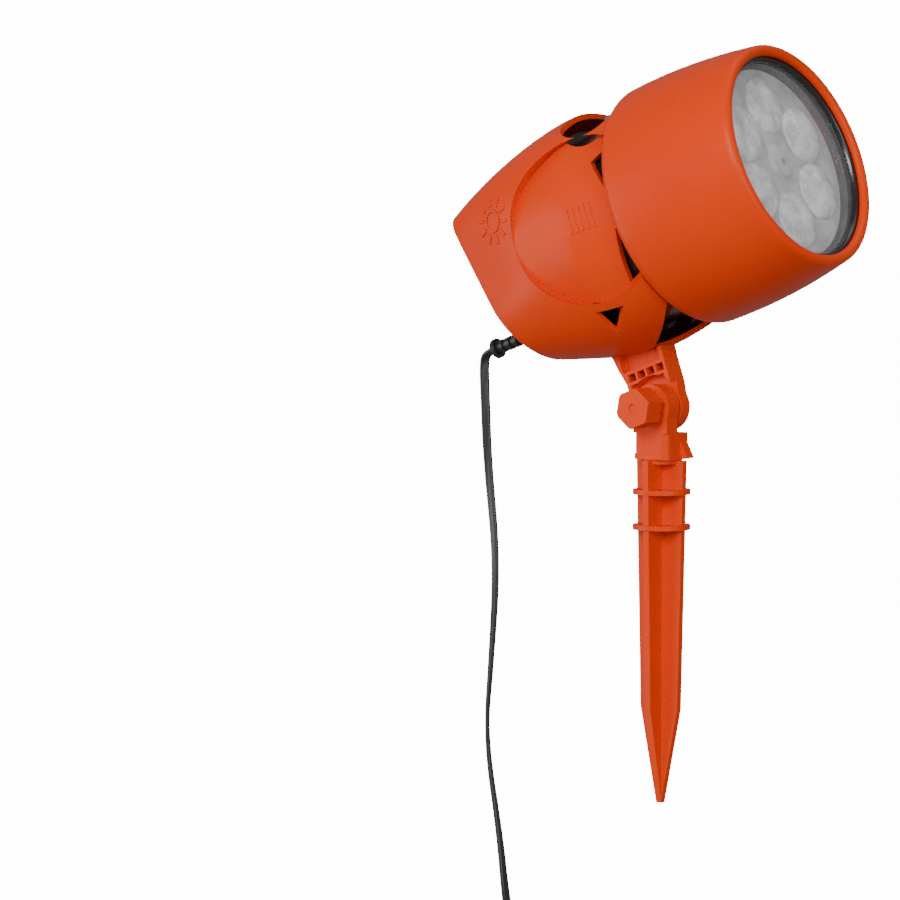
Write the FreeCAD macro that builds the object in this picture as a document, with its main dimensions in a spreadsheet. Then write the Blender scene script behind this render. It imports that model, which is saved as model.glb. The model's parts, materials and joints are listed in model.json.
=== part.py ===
"""Garden light projector on a ground stake, with its slide, its lens drive and its lead.

The origin is on the stake's axis at the ground line, +Z is up and the lamp head points to +X.
The head's own pieces are drawn in a head frame: its origin is at the centre of the front rim,
its X axis is the optical axis pointing forwards and its Z axis is the head's own upwards.
"""
import FreeCAD, Part
import math
import os
import Sketcher

os.makedirs("parts", exist_ok=True)
doc = FreeCAD.newDocument("projector_stake")

DIMENSIONS = {
    # the tilt hinge and where the head sits on it
    "head_tilt": 19.6, "hinge_height": 53.8, "hinge_behind_rim": 104.4, "hinge_below_axis": 79.3,
    # front hood
    "rim_inner": 45, "rim_outer": 49.7, "rim_round": 2.7, "rim_setback": 1.6, "hood_belly": 54.6,
    "hood_bow": 270, "shoulder_start": 62, "shoulder_round": 6, "hood_length": 67.2, "hood_tail": 51,
    "hood_tail_inner": 48.6, "hood_wall": 2.8, "tail_hook": 64.5, "seat_depth": 3.4,
    "seat_radius": 46.6, "seat_end": 6, "seat_wall": 49.4,
    # rear shell
    "shell_front": 68.5, "shell_front_radius": 50.4, "shell_belly": 54.6, "belly_at": 98,
    "shell_end": 176, "shell_wall": 2.6, "top_drop": 26.5, "bottom_drop": 23, "rear_at": 156.2,
    "rear_rake": 18, "least_corner": 5, "dish_at": 86, "dish_up": 1, "dish_radius": 36.5,
    "dish_front": 46.8, "dish_crest": 52.2, "crest_at": 92, "crest_half": 3, "dish_reach": 70,
    "dish_back": 48, "dish_back_at": 126, "window_front": 69.6, "window_back": 96,
    "window_half": 38.5, "rib_width": 1.2, "rib_length": 11, "rib_pitch": 2.6, "rib_proud": 0.35,
    "rib_low": -4.9, "rib_first": 89.4, "rib_count": 5,
    # barrel and optics
    "barrel_radius": 44.6, "barrel_wall": 1.6, "barrel_front": 16, "barrel_back": 112,
    "flange_width": 2, "front_flange": 49.2, "back_flange": 48, "back_flange_at": 101,
    "ring_inner": 43, "ring_bevel": 43.8, "ring_slope": 1.4, "ring_play": 0.1, "cover_radius": 46,
    "cover_thick": 2, "clamp_inner": 43.5, "clamp_outer": 49.2, "clamp_thick": 2.6, "lens_at": 13.4,
    "lens_thick": 4.8, "lens_hub": 15, "lobe_radius": 11.4, "lobe_circle": 24.5, "lobe_count": 6,
    "lens_base": 42.6, "base_thick": 2, "shaft_radius": 1.5, "shaft_fit": 0.06, "shaft_front": 9.5,
    "shaft_back": 46, "motor_front": 36, "motor_back": 52, "motor_radius": 10, "plate_thick": 3,
    "plate_at": 60, "light_across": 17, "light_up": 20, "light_hole": 7, "lens_small": 6.9,
    "lens_small_long": 6, "gate_front": 68.6, "gate_back": 78, "gate_half": 31, "gate_top": 28,
    "gate_bottom": 37, "slot_half": 26.2, "slot_floor": 33.5, "slot_front": 71, "slot_back": 75,
    "slot_play": 0.2, "slot_sink": 6, "slide_half": 25.7, "slide_top": 44, "slide_bottom": 33,
    "slide_thick": 3, "slide_at": 73, "slide_notch": 4.4, "notch_floor": 4, "picture_radius": 5.5,
    "tail_step": 7, "tail_gap": 5, "cone_back": 95, "cone_length": 14, "cone_small": 4,
    "cone_large": 8.6, "led_side": 5, "led_thick": 1.8, "board_radius": 38, "board_thick": 1.6,
    "sink_thick": 4, "fin_long": 20, "fin_thick": 2, "fin_pitch": 9, "fin_half": 26,
    "driver_long": 22, "driver_wide": 48, "driver_back": 145.5, "driver_up": -20, "screw_radius": 1.5,
    "screw_head": 2.8, "screw_head_high": 2, "screw_long": 7, "clamp_screw": 0.9,
    "clamp_screw_head": 1.6, "clamp_screw_long": 7, "clamp_circle": 47.9, "board_screw_circle": 30,
    # neck bracket and hinge
    "cheek_half": 9, "neck_near": 4.5, "neck_far": 6.5, "neck_floor": 2.4, "eye_radius": 10.5,
    "stake_eye": 10, "bolt_radius": 2.5, "bolt_fit": 0.08, "bolt_head": 4.6, "bolt_head_high": 3.4,
    "washer_thick": 0.8, "side_gap": 0.3, "knob_across": 9.2, "knob_long": 10.5, "dome_radius": 11.2,
    "dome_back": 7.2, "through": 60, "shank_radius": 6.4, "shank_long": 2.4, "dimple_radius": 2,
    "dimple_depth": 0.8, "insert_across": 4.4, "insert_long": 4, "spring_gap": 14.2,
    # stake
    "fin_width": 3, "fin_top_half": 12.5, "fin_low_half": 9.9, "fin_low": -79, "tip_half": 1.3,
    "tip_depth": -121, "fin_top": 30.6, "collar_radius": 12.7, "collar_thick": 2.2,
    "collar_pitch": 15.5, "block_half": 9, "block_round": 3, "block_bottom": 31, "block_top": 42.6,
    "lip_half": 9.5, "lip_high": 2.4, "lip_round": 3.5, "spigot_radius": 4, "spigot_top": 38,
    "barb_out": 3.4, "barb_high": 8, "barb_wide": 5, "barb_aside": 4, "barb_sink": 0.5,
    # lead, its relief, coil and plug
    "relief_radius": 3.6, "relief_flange": 4.6, "relief_flange_long": 2.5, "relief_end": 184,
    "relief_start": 146, "relief_down": 26.2, "cord_radius": 2.3, "coil_radius": 27.5,
    "coil_half": 7.1, "coil_round": 2.3, "coil_x": -55, "floor_height": -210, "tie_wall": 1,
    "tie_long": 5, "tail_radius": 32.1, "tail_long": 20, "tail_turn": -70, "plug_long": 26,
    "plug_wide": 18, "plug_high": 11, "plug_round": 2.5, "blade_long": 16, "blade_high": 6.4,
    "blade_thick": 1.5, "blade_gap": 12.7,
}

sheet = doc.addObject("Spreadsheet::Sheet", "Dims")
for row, (alias, value) in enumerate(DIMENSIONS.items(), start=1):
    cell = "A%d" % row
    sheet.set(cell, str(value))
    sheet.setAlias(cell, alias)
doc.recompute()


class Size:
    """A length that knows its number and the sheet expression that it stands for."""

    def __init__(self, value, text):
        self.value = float(value)
        self.text = text

    def __float__(self):
        return self.value

    def __add__(self, other):
        return joined(self, "+", other, self.value + float(other))

    def __radd__(self, other):
        return joined(other, "+", self, float(other) + self.value)

    def __sub__(self, other):
        return joined(self, "-", other, self.value - float(other))

    def __rsub__(self, other):
        return joined(other, "-", self, float(other) - self.value)

    def __mul__(self, other):
        return joined(self, "*", other, self.value * float(other))

    def __rmul__(self, other):
        return joined(other, "*", self, float(other) * self.value)

    def __truediv__(self, other):
        return joined(self, "/", other, self.value / float(other))

    def __neg__(self):
        return joined(0, "-", self, -self.value)


def written(item):
    return item.text if isinstance(item, Size) else repr(float(item))


def joined(left, sign, right, value):
    return Size(value, "(%s %s %s)" % (written(left), sign, written(right)))


class Sizes:
    """Each driving dimension as an attribute, as d.rim_outer."""

    def __getattr__(self, alias):
        return Size(sheet.get(alias), "Dims." + alias)


d = Sizes()
nodes = []

UPRIGHT = FreeCAD.Rotation()
ALONG_X = FreeCAD.Rotation(FreeCAD.Vector(0, 1, 0), 90)
ALONG_Y = FreeCAD.Rotation(FreeCAD.Vector(1, 0, 0), -90)


def head_placement():
    """Puts the head frame so that the hinge point of the head meets the stake's hinge axis."""
    turn = FreeCAD.Rotation(FreeCAD.Vector(0, 1, 0), -float(d.head_tilt))
    hinge_in_head = FreeCAD.Vector(-float(d.hinge_behind_rim), 0, -float(d.hinge_below_axis))
    hinge = FreeCAD.Vector(0, 0, float(d.hinge_height))
    return FreeCAD.Placement(hinge - turn.multVec(hinge_in_head), turn)


HEAD = head_placement()
HINGE_HEAD = (-d.hinge_behind_rim, 0, -d.hinge_below_axis)


def point(x, y, z):
    return FreeCAD.Vector(float(x), float(y), float(z))


def bind(item, prop, size):
    """Binds a property to the sheet, or sets it where the size is a plain number."""
    if isinstance(size, Size):
        item.setExpression(prop, size.text)
    else:
        setattr(item, prop, size)


def move_to(item, at, turn=UPRIGHT):
    """Turns an object and binds its position to the sheet."""
    item.Placement = FreeCAD.Placement(point(*at), turn)
    for axis, size in zip("xyz", at):
        if isinstance(size, Size):
            item.setExpression("Placement.Base." + axis, size.text)


def box(name, sizes, at):
    item = doc.addObject("Part::Box", name)
    for prop, size in zip(("Length", "Width", "Height"), sizes):
        bind(item, prop, size)
    move_to(item, at)
    return item


def rounded_block(name, sizes, at, rounding):
    """A box with its four upright edges rounded."""
    upright_edges = (1, 3, 5, 7)
    item = doc.addObject("Part::Fillet", name)
    item.Base = box(name + "_square", sizes, at)
    item.Edges = [(edge, float(rounding), float(rounding)) for edge in upright_edges]
    return item


def rod(name, radius, length, at, turn=UPRIGHT):
    item = doc.addObject("Part::Cylinder", name)
    bind(item, "Radius", radius)
    bind(item, "Height", length)
    move_to(item, at, turn)
    return item


def fuse(name, items):
    item = doc.addObject("Part::MultiFuse", name)
    item.Shapes = items
    return item


def cut(name, base, tool):
    item = doc.addObject("Part::Cut", name)
    item.Base = base
    item.Tool = tool
    return item


def common(name, items):
    item = doc.addObject("Part::MultiCommon", name)
    item.Shapes = items
    return item


def group(name, items):
    item = doc.addObject("Part::Compound", name)
    item.Links = items
    return item


def feature(name, shape):
    item = doc.addObject("Part::Feature", name)
    item.Shape = shape
    return item


def finished(item, label, placement=None):
    """Names a finished sub-part, puts it in its frame and lists it for writing."""
    item.Label = label
    if placement:
        item.Placement = placement
    nodes.append(item)
    return item


def origin_plane(body, role):
    return next(item for item in body.Origin.OriginFeatures if item.Role == role)


def arc_through(start, end, radius):
    """The middle point of an arc; a positive radius bulges to the left of the way from start."""
    chord = end - start
    half = chord.Length / 2
    rise = abs(radius) - math.sqrt(radius * radius - half * half)
    left = FreeCAD.Vector(-chord.y, chord.x, 0).normalize()
    return (start + end) / 2 + left * math.copysign(rise, radius)


def outline(body, name, role, corners):
    """A closed sketch. A corner is (across, up), or (across, up, radius) where an arc follows."""
    sketch = body.newObject("Sketcher::SketchObject", name)
    sketch.AttachmentSupport = [(origin_plane(body, role), "")]
    sketch.MapMode = "FlatFace"
    spots = [FreeCAD.Vector(float(corner[0]), float(corner[1]), 0) for corner in corners]
    ends = []
    for index, corner in enumerate(corners):
        start = spots[index]
        end = spots[(index + 1) % len(spots)]
        if len(corner) == 2:
            edge = sketch.addGeometry(Part.LineSegment(start, end))
            ends.append((edge, 1, 2))
            continue
        radius = float(corner[2])
        middle = arc_through(start, end, radius)
        if radius > 0:
            edge = sketch.addGeometry(Part.Arc(end, middle, start))
            ends.append((edge, 2, 1))
        else:
            edge = sketch.addGeometry(Part.Arc(start, middle, end))
            ends.append((edge, 1, 2))
    for index, (edge, first, last) in enumerate(ends):
        following, following_first, _ = ends[(index + 1) % len(ends)]
        sketch.addConstraint(
            Sketcher.Constraint("Coincident", edge, last, following, following_first))
    for (edge, first, last), corner in zip(ends, corners):
        for kind, size in (("DistanceX", corner[0]), ("DistanceY", corner[1])):
            row = sketch.addConstraint(Sketcher.Constraint(kind, -1, 1, edge, first, float(size)))
            if isinstance(size, Size):
                sketch.setExpression("Constraints[%d]" % row, size.text)
        if len(corner) == 3:
            sketch.addConstraint(Sketcher.Constraint("Radius", edge, abs(float(corner[2]))))
    return sketch


def turned(name, corners, axis="H_Axis"):
    """A body turned about its X axis, or its Z axis, from a profile in its XZ plane."""
    body = doc.addObject("PartDesign::Body", name)
    profile = outline(body, name + "_profile", "XZ_Plane", corners)
    turn = body.newObject("PartDesign::Revolution", name + "_turn")
    turn.Profile = profile
    turn.ReferenceAxis = (profile, [axis])
    turn.Angle = 360
    profile.Visibility = False
    return body


def padded(body, name, role, corners, length):
    """Adds a pad of the whole length, half to each side of an origin plane."""
    profile = outline(body, name + "_outline", role, corners)
    pad = body.newObject("PartDesign::Pad", name)
    pad.Profile = profile
    pad.Midplane = True
    bind(pad, "Length", length)
    return pad


def four_places(across, up):
    return [(across, up), (across, -up), (-across, up), (-across, -up)]


def around_axis(count, circle):
    """Evenly spaced (across, up) places on a circle about the optical axis."""
    steps = [2 * math.pi * (index + 0.5) / count for index in range(count)]
    return [(circle * math.cos(step), circle * math.sin(step)) for step in steps]


def screws(name, places, seat, radius, head, length):
    """Pan-head screws that point forwards; their heads end at the seat, along the head's X axis."""
    items = []
    for index, (across, up) in enumerate(places):
        cap = rod("%s_head_%d" % (name, index), head, d.screw_head_high,
                  (seat - d.screw_head_high, across, up), ALONG_X)
        shank = rod("%s_shank_%d" % (name, index), radius, length, (seat, across, up), ALONG_X)
        items.append(fuse("%s_%d" % (name, index), [cap, shank]))
    return group(name, items)


def holes_along(name, places, start, radius, length):
    """One tool of straight holes along the head's X axis."""
    rods = [rod("%s_%d" % (name, index), radius, length, (start, across, up), ALONG_X)
            for index, (across, up) in enumerate(places)]
    return fuse(name, rods)


# ---------------------------------------------------------------- front hood and its glazing

def clamp_places():
    return around_axis(4, d.clamp_circle)


def clamp_seat():
    """The back face of the clamp ring, where its screw heads sit."""
    return -d.seat_end - d.cover_thick - d.clamp_thick


def make_front_hood():
    corners = [
        (-d.rim_setback, d.rim_inner, d.rim_round * -1),
        (-d.rim_setback, d.rim_outer, d.hood_bow * -1),
        (-d.shoulder_start, d.hood_belly, d.shoulder_round * -1),
        (-d.hood_length, d.hood_tail),
        (-d.hood_length, d.hood_tail_inner),
        (-d.tail_hook, d.hood_tail_inner),
        (-d.shoulder_start, d.hood_belly - d.hood_wall, d.hood_bow),
        (-d.seat_end, d.seat_wall),
        (-d.seat_end, d.seat_radius),
        (-d.seat_depth, d.seat_radius),
        (-d.seat_depth, d.rim_inner),
    ]
    pilot_holes = holes_along("pilot_holes", clamp_places(), clamp_seat(), d.clamp_screw, d.clamp_screw_long)
    finished(cut("hood", turned("hood_turned", corners), pilot_holes), "front_hood", HEAD)


def make_glazing():
    ring = turned("ring", [
        (-d.seat_depth - d.ring_play, d.ring_bevel),
        (-d.seat_depth - d.ring_play, d.seat_radius - d.ring_play),
        (-d.seat_end, d.seat_radius - d.ring_play),
        (-d.seat_end, d.ring_inner),
        (-d.seat_depth - d.ring_slope, d.ring_inner),
    ])
    finished(ring, "lens_ring", HEAD)
    cover = rod("cover", d.cover_radius, d.cover_thick, (-d.seat_end - d.cover_thick, 0, 0), ALONG_X)
    finished(group("cover_set", [cover]), "front_cover", HEAD)
    clamp_back = clamp_seat()
    clamp = turned("clamp_turned", [
        (clamp_back, d.clamp_inner),
        (clamp_back, d.clamp_outer),
        (clamp_back + d.clamp_thick, d.clamp_outer),
        (clamp_back + d.clamp_thick, d.clamp_inner),
    ])
    holes = holes_along("clamp_holes", clamp_places(), clamp_back, d.clamp_screw, d.clamp_thick)
    finished(cut("clamp", clamp, holes), "cover_clamp", HEAD)
    finished(screws("clamp_screw", clamp_places(), clamp_back, d.clamp_screw, d.clamp_screw_head,
                    d.clamp_screw_long), "clamp_screws", HEAD)


# ---------------------------------------------------------------- rear shell

def rounded_section(along, top, bottom, side, top_corner, bottom_corner):
    """A closed wire across the optical axis: four straight sides and four round corners."""
    inward = 1 - math.sqrt(0.5)

    def spot(across, up):
        return FreeCAD.Vector(along, across, up)

    edges = []
    for sign in (1, -1):
        high = top if sign == 1 else bottom
        high_corner = top_corner if sign == 1 else bottom_corner
        low_corner = bottom_corner if sign == 1 else top_corner
        for hand in (-1, 1):
            across = hand * sign
            arc = Part.Arc(
                spot(across * side, sign * (high - high_corner)),
                spot(across * (side - inward * high_corner), sign * (high - inward * high_corner)),
                spot(across * (side - high_corner), sign * high)).toShape()
            edges.append(arc)
        flat = Part.LineSegment(spot(-side + high_corner, sign * high),
                                spot(side - high_corner, sign * high)).toShape()
        edges.append(flat)
        low = bottom if sign == 1 else top
        edges.append(Part.LineSegment(
            spot(sign * side, sign * (high - high_corner)),
            spot(sign * side, -sign * (low - low_corner))).toShape())
    return Part.Wire(Part.__sortEdges__(edges))


def shell_stations():
    """The sections' distances behind the rim, closer together where the shell narrows."""
    front = float(d.shell_front)
    belly = float(d.belly_at)
    end = float(d.shell_end)
    forward = [front + (belly - front) * part / 3 for part in range(4)]
    rearward = [belly + (end - belly) * part / 6 for part in range(1, 7)]
    return forward + rearward


def shell_body(inset):
    """The rear shell's outer skin, or its cavity when inset is the wall's thickness."""
    front = float(d.shell_front)
    belly = float(d.belly_at)
    end = float(d.shell_end)
    full = float(d.shell_belly)
    narrow = float(d.shell_front_radius)
    least = float(d.least_corner)
    wires = []
    for behind in shell_stations():
        if behind <= belly:
            part = (belly - behind) / (belly - front)
            top = bottom = full - (full - narrow) * part ** 1.6
            round_part = 0
        else:
            round_part = (behind - belly) / (end - belly)
            top = full - float(d.top_drop) * round_part ** 1.3
            bottom = full - float(d.bottom_drop) * round_part ** 1.5
        blend = (1 - round_part) ** 0.7
        top_corner = least + (top - 1 - least) * blend
        bottom_corner = 2.4 * least + (bottom - 1 - 2.4 * least) * blend
        wires.append(rounded_section(-behind, top - inset, bottom - inset, top - inset,
                                     top_corner - inset, min(bottom_corner, top - 1) - inset))
    return Part.makeLoft(wires, True, False)


def rear_cutter(inset):
    """A block behind the raked rear face; the inset moves it forwards."""
    size = 200
    block = Part.makeBox(size, size, size, FreeCAD.Vector(-size, -size / 2, -size / 2))
    turn = FreeCAD.Rotation(FreeCAD.Vector(0, 1, 0), -float(d.rear_rake))
    block.Placement = FreeCAD.Placement(FreeCAD.Vector(inset - float(d.rear_at), 0, 0), turn)
    return block


def dish_ring(inset):
    """What the round side dishes take away: two side drums outside a crowned middle."""
    radius = float(d.dish_radius) + inset
    reach = float(d.dish_reach)
    start = FreeCAD.Vector(-float(d.dish_at), -reach, float(d.dish_up))
    drum = Part.makeCylinder(radius, 2 * reach, start, FreeCAD.Vector(0, 1, 0))
    front = point(-d.shell_front + d.crest_half, 0, d.dish_front - inset)
    crest = point(-d.crest_at, 0, d.dish_crest - inset)
    back = point(-d.dish_back_at, 0, d.dish_back - inset)
    half_flat = point(d.crest_half, 0, 0)
    axis_spots = [point(back.x, 0, 0), point(front.x, 0, 0)]
    wire = Part.makePolygon([front, crest + half_flat, crest - half_flat, back] + axis_spots + [front])
    middle = Part.Face(wire).revolve(FreeCAD.Vector(0, 0, 0), FreeCAD.Vector(1, 0, 0), 360)
    return drum.cut(middle)


def upright_prism(outline_points, low, high):
    """A prism along the head's up axis from (along, across) points."""
    spots = [FreeCAD.Vector(along, across, low) for along, across in outline_points]
    face = Part.Face(Part.makePolygon(spots + spots[:1]))
    return face.extrude(FreeCAD.Vector(0, 0, high - low))


def side_prism(outline_points, reach):
    """A prism across the head from (along, up) points, through both side walls."""
    spots = [FreeCAD.Vector(along, -reach, up) for along, up in outline_points]
    face = Part.Face(Part.makePolygon(spots + spots[:1]))
    return face.extrude(FreeCAD.Vector(0, 2 * reach, 0))


def top_window():
    """The long round-ended opening over the slide."""
    front = -float(d.window_front)
    back = -float(d.window_back)
    straight = float(d.window_half) - (front - back) / 2
    low, high = TOP_CUT
    edges = []
    for hand in (-1, 1):
        first = FreeCAD.Vector(front, hand * straight, low)
        tip = FreeCAD.Vector((front + back) / 2, hand * float(d.window_half), low)
        last = FreeCAD.Vector(back, hand * straight, low)
        edges.append(Part.Arc(first, tip, last).toShape())
    for along in (front, back):
        start = FreeCAD.Vector(along, -straight, low)
        edges.append(Part.LineSegment(start, FreeCAD.Vector(along, straight, low)).toShape())
    outline_face = Part.Face(Part.Wire(Part.__sortEdges__(edges)))
    return outline_face.extrude(FreeCAD.Vector(0, 0, high - low))


# openings in the rear shell, as (along, up) points in its sides or (along, across) in its underside
TOP_CUT = (20, 80)
UPPER_TOOTH = [(-66, 29), (-75.5, 23), (-66, 1)]
LOWER_TOOTH = [(-64, -5), (-70, -9), (-76, -31), (-66, -27)]
MIDDLE_VENT = [(-66, -29), (-66, 29), (-99, 3), (-99, -3)]
MIDDLE_VENT_CUT = (-70, -36)
CORNER_VENT = [(-96.5, 40), (-83.5, 37), (-96.5, 28)]
CORNER_VENT_CUT = (-70, -20)


def shell_openings():
    """The saw-tooth gaps behind the hood and the vents beside the neck."""
    tools = [side_prism(tooth, float(d.dish_reach)) for tooth in (UPPER_TOOTH, LOWER_TOOTH)]
    tools += [upright_prism(MIDDLE_VENT, *MIDDLE_VENT_CUT), top_window()]
    for hand in (-1, 1):
        corner = [(along, across * hand) for along, across in CORNER_VENT]
        tools.append(upright_prism(corner, *CORNER_VENT_CUT))
    return tools


def grip_ribs():
    """Short raised ribs on the falling front of each side dish."""
    crest_front = float(d.crest_at - d.crest_half)
    slope = float(d.dish_crest - d.dish_front) / (crest_front - float(d.shell_front - d.crest_half))
    ribs = []
    for index in range(int(d.rib_count.value)):
        behind = float(d.rib_first - index * d.rib_pitch)
        fall = slope * max(crest_front - behind + float(d.rib_width), 0)
        radius = float(d.dish_crest) - fall + float(d.rib_proud)
        ribs.append(Part.makeBox(float(d.rib_width), 2 * radius, float(d.rib_length),
                                 FreeCAD.Vector(-behind, -radius, float(d.rib_low))))
    return ribs


def shell_outer():
    return shell_body(0).cut(rear_cutter(0)).cut(dish_ring(0))


def make_rear_shell():
    wall = float(d.shell_wall)
    cavity = shell_body(wall).cut(rear_cutter(wall)).cut(dish_ring(wall))
    mouth_start = point(-d.shell_front - d.crest_half, 0, 0)
    mouth = Part.makeCylinder(float(d.dish_front) - wall, 2 * float(d.crest_half), mouth_start,
                              FreeCAD.Vector(1, 0, 0))
    shell = shell_outer().fuse([rib.common(shell_body(0)) for rib in grip_ribs()])
    shell = shell.cut([cavity, mouth] + shell_openings())
    bore = Part.makeCylinder(float(d.relief_radius), float(d.through),
                             point(-d.relief_end, 0, -d.relief_down), FreeCAD.Vector(1, 0, 0))
    shell = shell.cut(bore)
    shell = max(shell.Solids, key=lambda solid: solid.Volume)
    finished(feature("shell", shell), "rear_shell", HEAD)


# ---------------------------------------------------------------- barrel, slide and optics

def make_barrel():
    inner = d.barrel_radius - d.barrel_wall
    tube = turned("barrel_turned", [
        (-d.barrel_front, inner),
        (-d.barrel_front, d.front_flange),
        (-d.barrel_front - d.flange_width, d.front_flange),
        (-d.barrel_front - d.flange_width, d.barrel_radius),
        (-d.back_flange_at, d.barrel_radius),
        (-d.back_flange_at, d.back_flange),
        (-d.back_flange_at - d.flange_width, d.back_flange),
        (-d.back_flange_at - d.flange_width, d.barrel_radius),
        (-d.barrel_back, d.barrel_radius),
        (-d.barrel_back, inner),
    ])
    play = d.slot_play
    slot = box("barrel_slot",
               (d.slot_back - d.slot_front + 2 * play, 2 * d.slot_half + 2 * play, d.barrel_radius),
               (-d.slot_back - play, -d.slot_half - play, d.gate_top - d.slot_sink))
    finished(cut("barrel", tube, slot), "inner_barrel", HEAD)


def make_gate():
    block = box("gate_block", (d.gate_back - d.gate_front, 2 * d.gate_half, d.gate_top + d.gate_bottom),
                (-d.gate_back, -d.gate_half, -d.gate_bottom))
    drum = rod("gate_drum", d.barrel_radius - d.barrel_wall, d.gate_back - d.gate_front,
               (-d.gate_back, 0, 0), ALONG_X)
    slot = box("gate_slot", (d.slot_back - d.slot_front, 2 * d.slot_half, 2 * d.gate_top + d.slot_floor),
               (-d.slot_back, -d.slot_half, -d.slot_floor))
    holes = [rod("gate_light_%d" % index, d.light_hole, d.through, (-d.gate_back - 1, across, up), ALONG_X)
             for index, (across, up) in enumerate(four_places(d.light_across, d.light_up))]
    body = common("gate_round", [block, drum])
    finished(cut("gate", body, fuse("gate_cuts", [slot] + holes)), "gate_frame", HEAD)


def make_slide():
    back = -d.slide_at - d.slide_thick / 2
    card = box("card", (d.slide_thick, 2 * d.slide_half, d.slide_top + d.slide_bottom),
               (back, -d.slide_half, -d.slide_bottom))
    cuts = [box("card_notch", (d.slide_thick, d.slide_notch, d.slide_top - d.notch_floor),
                (back, -d.slide_notch / 2, d.notch_floor))]
    for index, across in enumerate((-d.slide_half, -d.tail_gap / 2, d.slide_half - d.tail_gap)):
        cuts.append(box("card_tail_%d" % index, (d.slide_thick, d.tail_gap, d.tail_step),
                        (back, across, -d.slide_bottom)))
    panes = []
    for index, (across, up) in enumerate(four_places(d.light_across, d.light_up)):
        cuts.append(rod("card_hole_%d" % index, d.picture_radius, d.slide_thick,
                        (back, across, up), ALONG_X))
        panes.append(rod("pane_%d" % index, d.picture_radius, d.slide_thick / 2,
                         (back + d.slide_thick / 4, across, up), ALONG_X))
    finished(cut("slide", card, fuse("card_cuts", cuts)), "slide_cartridge", HEAD)
    finished(group("panes", panes), "slide_windows", HEAD)


def make_projection_optics():
    inner = d.barrel_radius - d.barrel_wall
    disc = rod("lens_disc", inner, d.plate_thick, (-d.plate_at, 0, 0), ALONG_X)
    places = four_places(d.light_across, d.light_up)
    middle = -d.plate_at + d.plate_thick / 2 - d.lens_small_long / 2
    lenses = [rod("objective_%d" % index, d.lens_small, d.lens_small_long, (middle, across, up), ALONG_X)
              for index, (across, up) in enumerate(places)]
    holes = [rod("disc_hole_%d" % index, d.lens_small, d.plate_thick, (-d.plate_at, across, up), ALONG_X)
             for index, (across, up) in enumerate(places)]
    finished(cut("lens_plate_cut", disc, fuse("disc_holes", holes)), "lens_plate", HEAD)
    finished(group("objectives", lenses), "projection_lenses", HEAD)


def make_spinning_lens():
    bore = rod("lens_bore", d.shaft_radius, d.lens_thick, (-d.lens_at, 0, 0), ALONG_X)
    discs = [rod("lens_hub_disc", d.lens_hub, d.lens_thick, (-d.lens_at, 0, 0), ALONG_X),
             rod("lens_base_disc", d.lens_base, d.base_thick, (-d.lens_at, 0, 0), ALONG_X)]
    for index in range(int(d.lobe_count.value)):
        angle = 2 * math.pi * index / d.lobe_count.value
        discs.append(rod("lobe_%d" % index, d.lobe_radius, d.lens_thick,
                         (-d.lens_at, d.lobe_circle * math.cos(angle), d.lobe_circle * math.sin(angle)),
                         ALONG_X))
    finished(cut("rotor", fuse("rotor_discs", discs), bore), "spinning_lens", HEAD)
    shaft = rod("shaft", d.shaft_radius, d.shaft_back - d.shaft_front, (-d.shaft_back, 0, 0), ALONG_X)
    finished(group("shaft_set", [shaft]), "spin_shaft", HEAD)


def make_motor():
    can = rod("motor_can", d.motor_radius, d.motor_back - d.motor_front, (-d.motor_back, 0, 0), ALONG_X)
    bore = rod("motor_bore", d.shaft_radius + d.shaft_fit, d.motor_back, (-d.shaft_back - 0.3, 0, 0),
               ALONG_X)
    finished(cut("motor", can, bore), "spin_motor", HEAD)
    reach = d.barrel_radius - d.barrel_wall
    across = box("bracket_bar", (d.plate_thick, 2 * reach, 14), (-d.motor_back - d.plate_thick, -reach, -7))
    drum = rod("bracket_drum", reach, d.plate_thick, (-d.motor_back - d.plate_thick, 0, 0), ALONG_X)
    finished(common("motor_bar", [across, drum]), "motor_bracket", HEAD)


def make_light_engine():
    places = four_places(d.light_across, d.light_up)
    cones = []
    leds = []
    for index, (across, up) in enumerate(places):
        cone = doc.addObject("Part::Cone", "cone_%d" % index)
        bind(cone, "Radius1", d.cone_small)
        bind(cone, "Radius2", d.cone_large)
        bind(cone, "Height", d.cone_length)
        move_to(cone, (-d.cone_back, across, up), ALONG_X)
        cones.append(cone)
        leds.append(box("led_%d" % index, (d.led_thick, d.led_side, d.led_side),
                        (-d.cone_back - d.led_thick, across - d.led_side / 2, up - d.led_side / 2)))
    finished(group("cones", cones), "collimators", HEAD)
    finished(group("led_set", leds), "leds", HEAD)
    board_back = -d.cone_back - d.led_thick - d.board_thick
    board = rod("board", d.board_radius, d.board_thick, (board_back, 0, 0), ALONG_X)
    screw_places = around_axis(2, d.board_screw_circle)
    board_holes = holes_along("board_holes", screw_places, board_back, d.screw_radius, d.board_thick)
    finished(cut("led_board_cut", board, board_holes), "led_board", HEAD)
    sink_back = board_back - d.sink_thick
    blocks = [rod("sink_disc", d.board_radius, d.sink_thick, (sink_back, 0, 0), ALONG_X)]
    for index in range(-2, 3):
        across = d.fin_pitch * index - d.fin_thick / 2
        blocks.append(box("sink_fin_%d" % (index + 2), (d.fin_long, d.fin_thick, 2 * d.fin_half),
                          (sink_back - d.fin_long, across, -d.fin_half)))
    sink_holes = holes_along("sink_holes", screw_places, sink_back, d.screw_radius, d.sink_thick)
    finished(cut("sink", fuse("sink_blocks", blocks), sink_holes), "heat_sink", HEAD)
    finished(screws("board_screw", screw_places, sink_back, d.screw_radius, d.screw_head,
                    d.screw_long), "board_screws", HEAD)


CAPACITOR_RADIUS = 5
CAPACITOR_HIGH = 14
TRANSFORMER_SIZE = (14, 16, 13)
CHIP_SIZE = (5, 6, 1.6)


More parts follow.
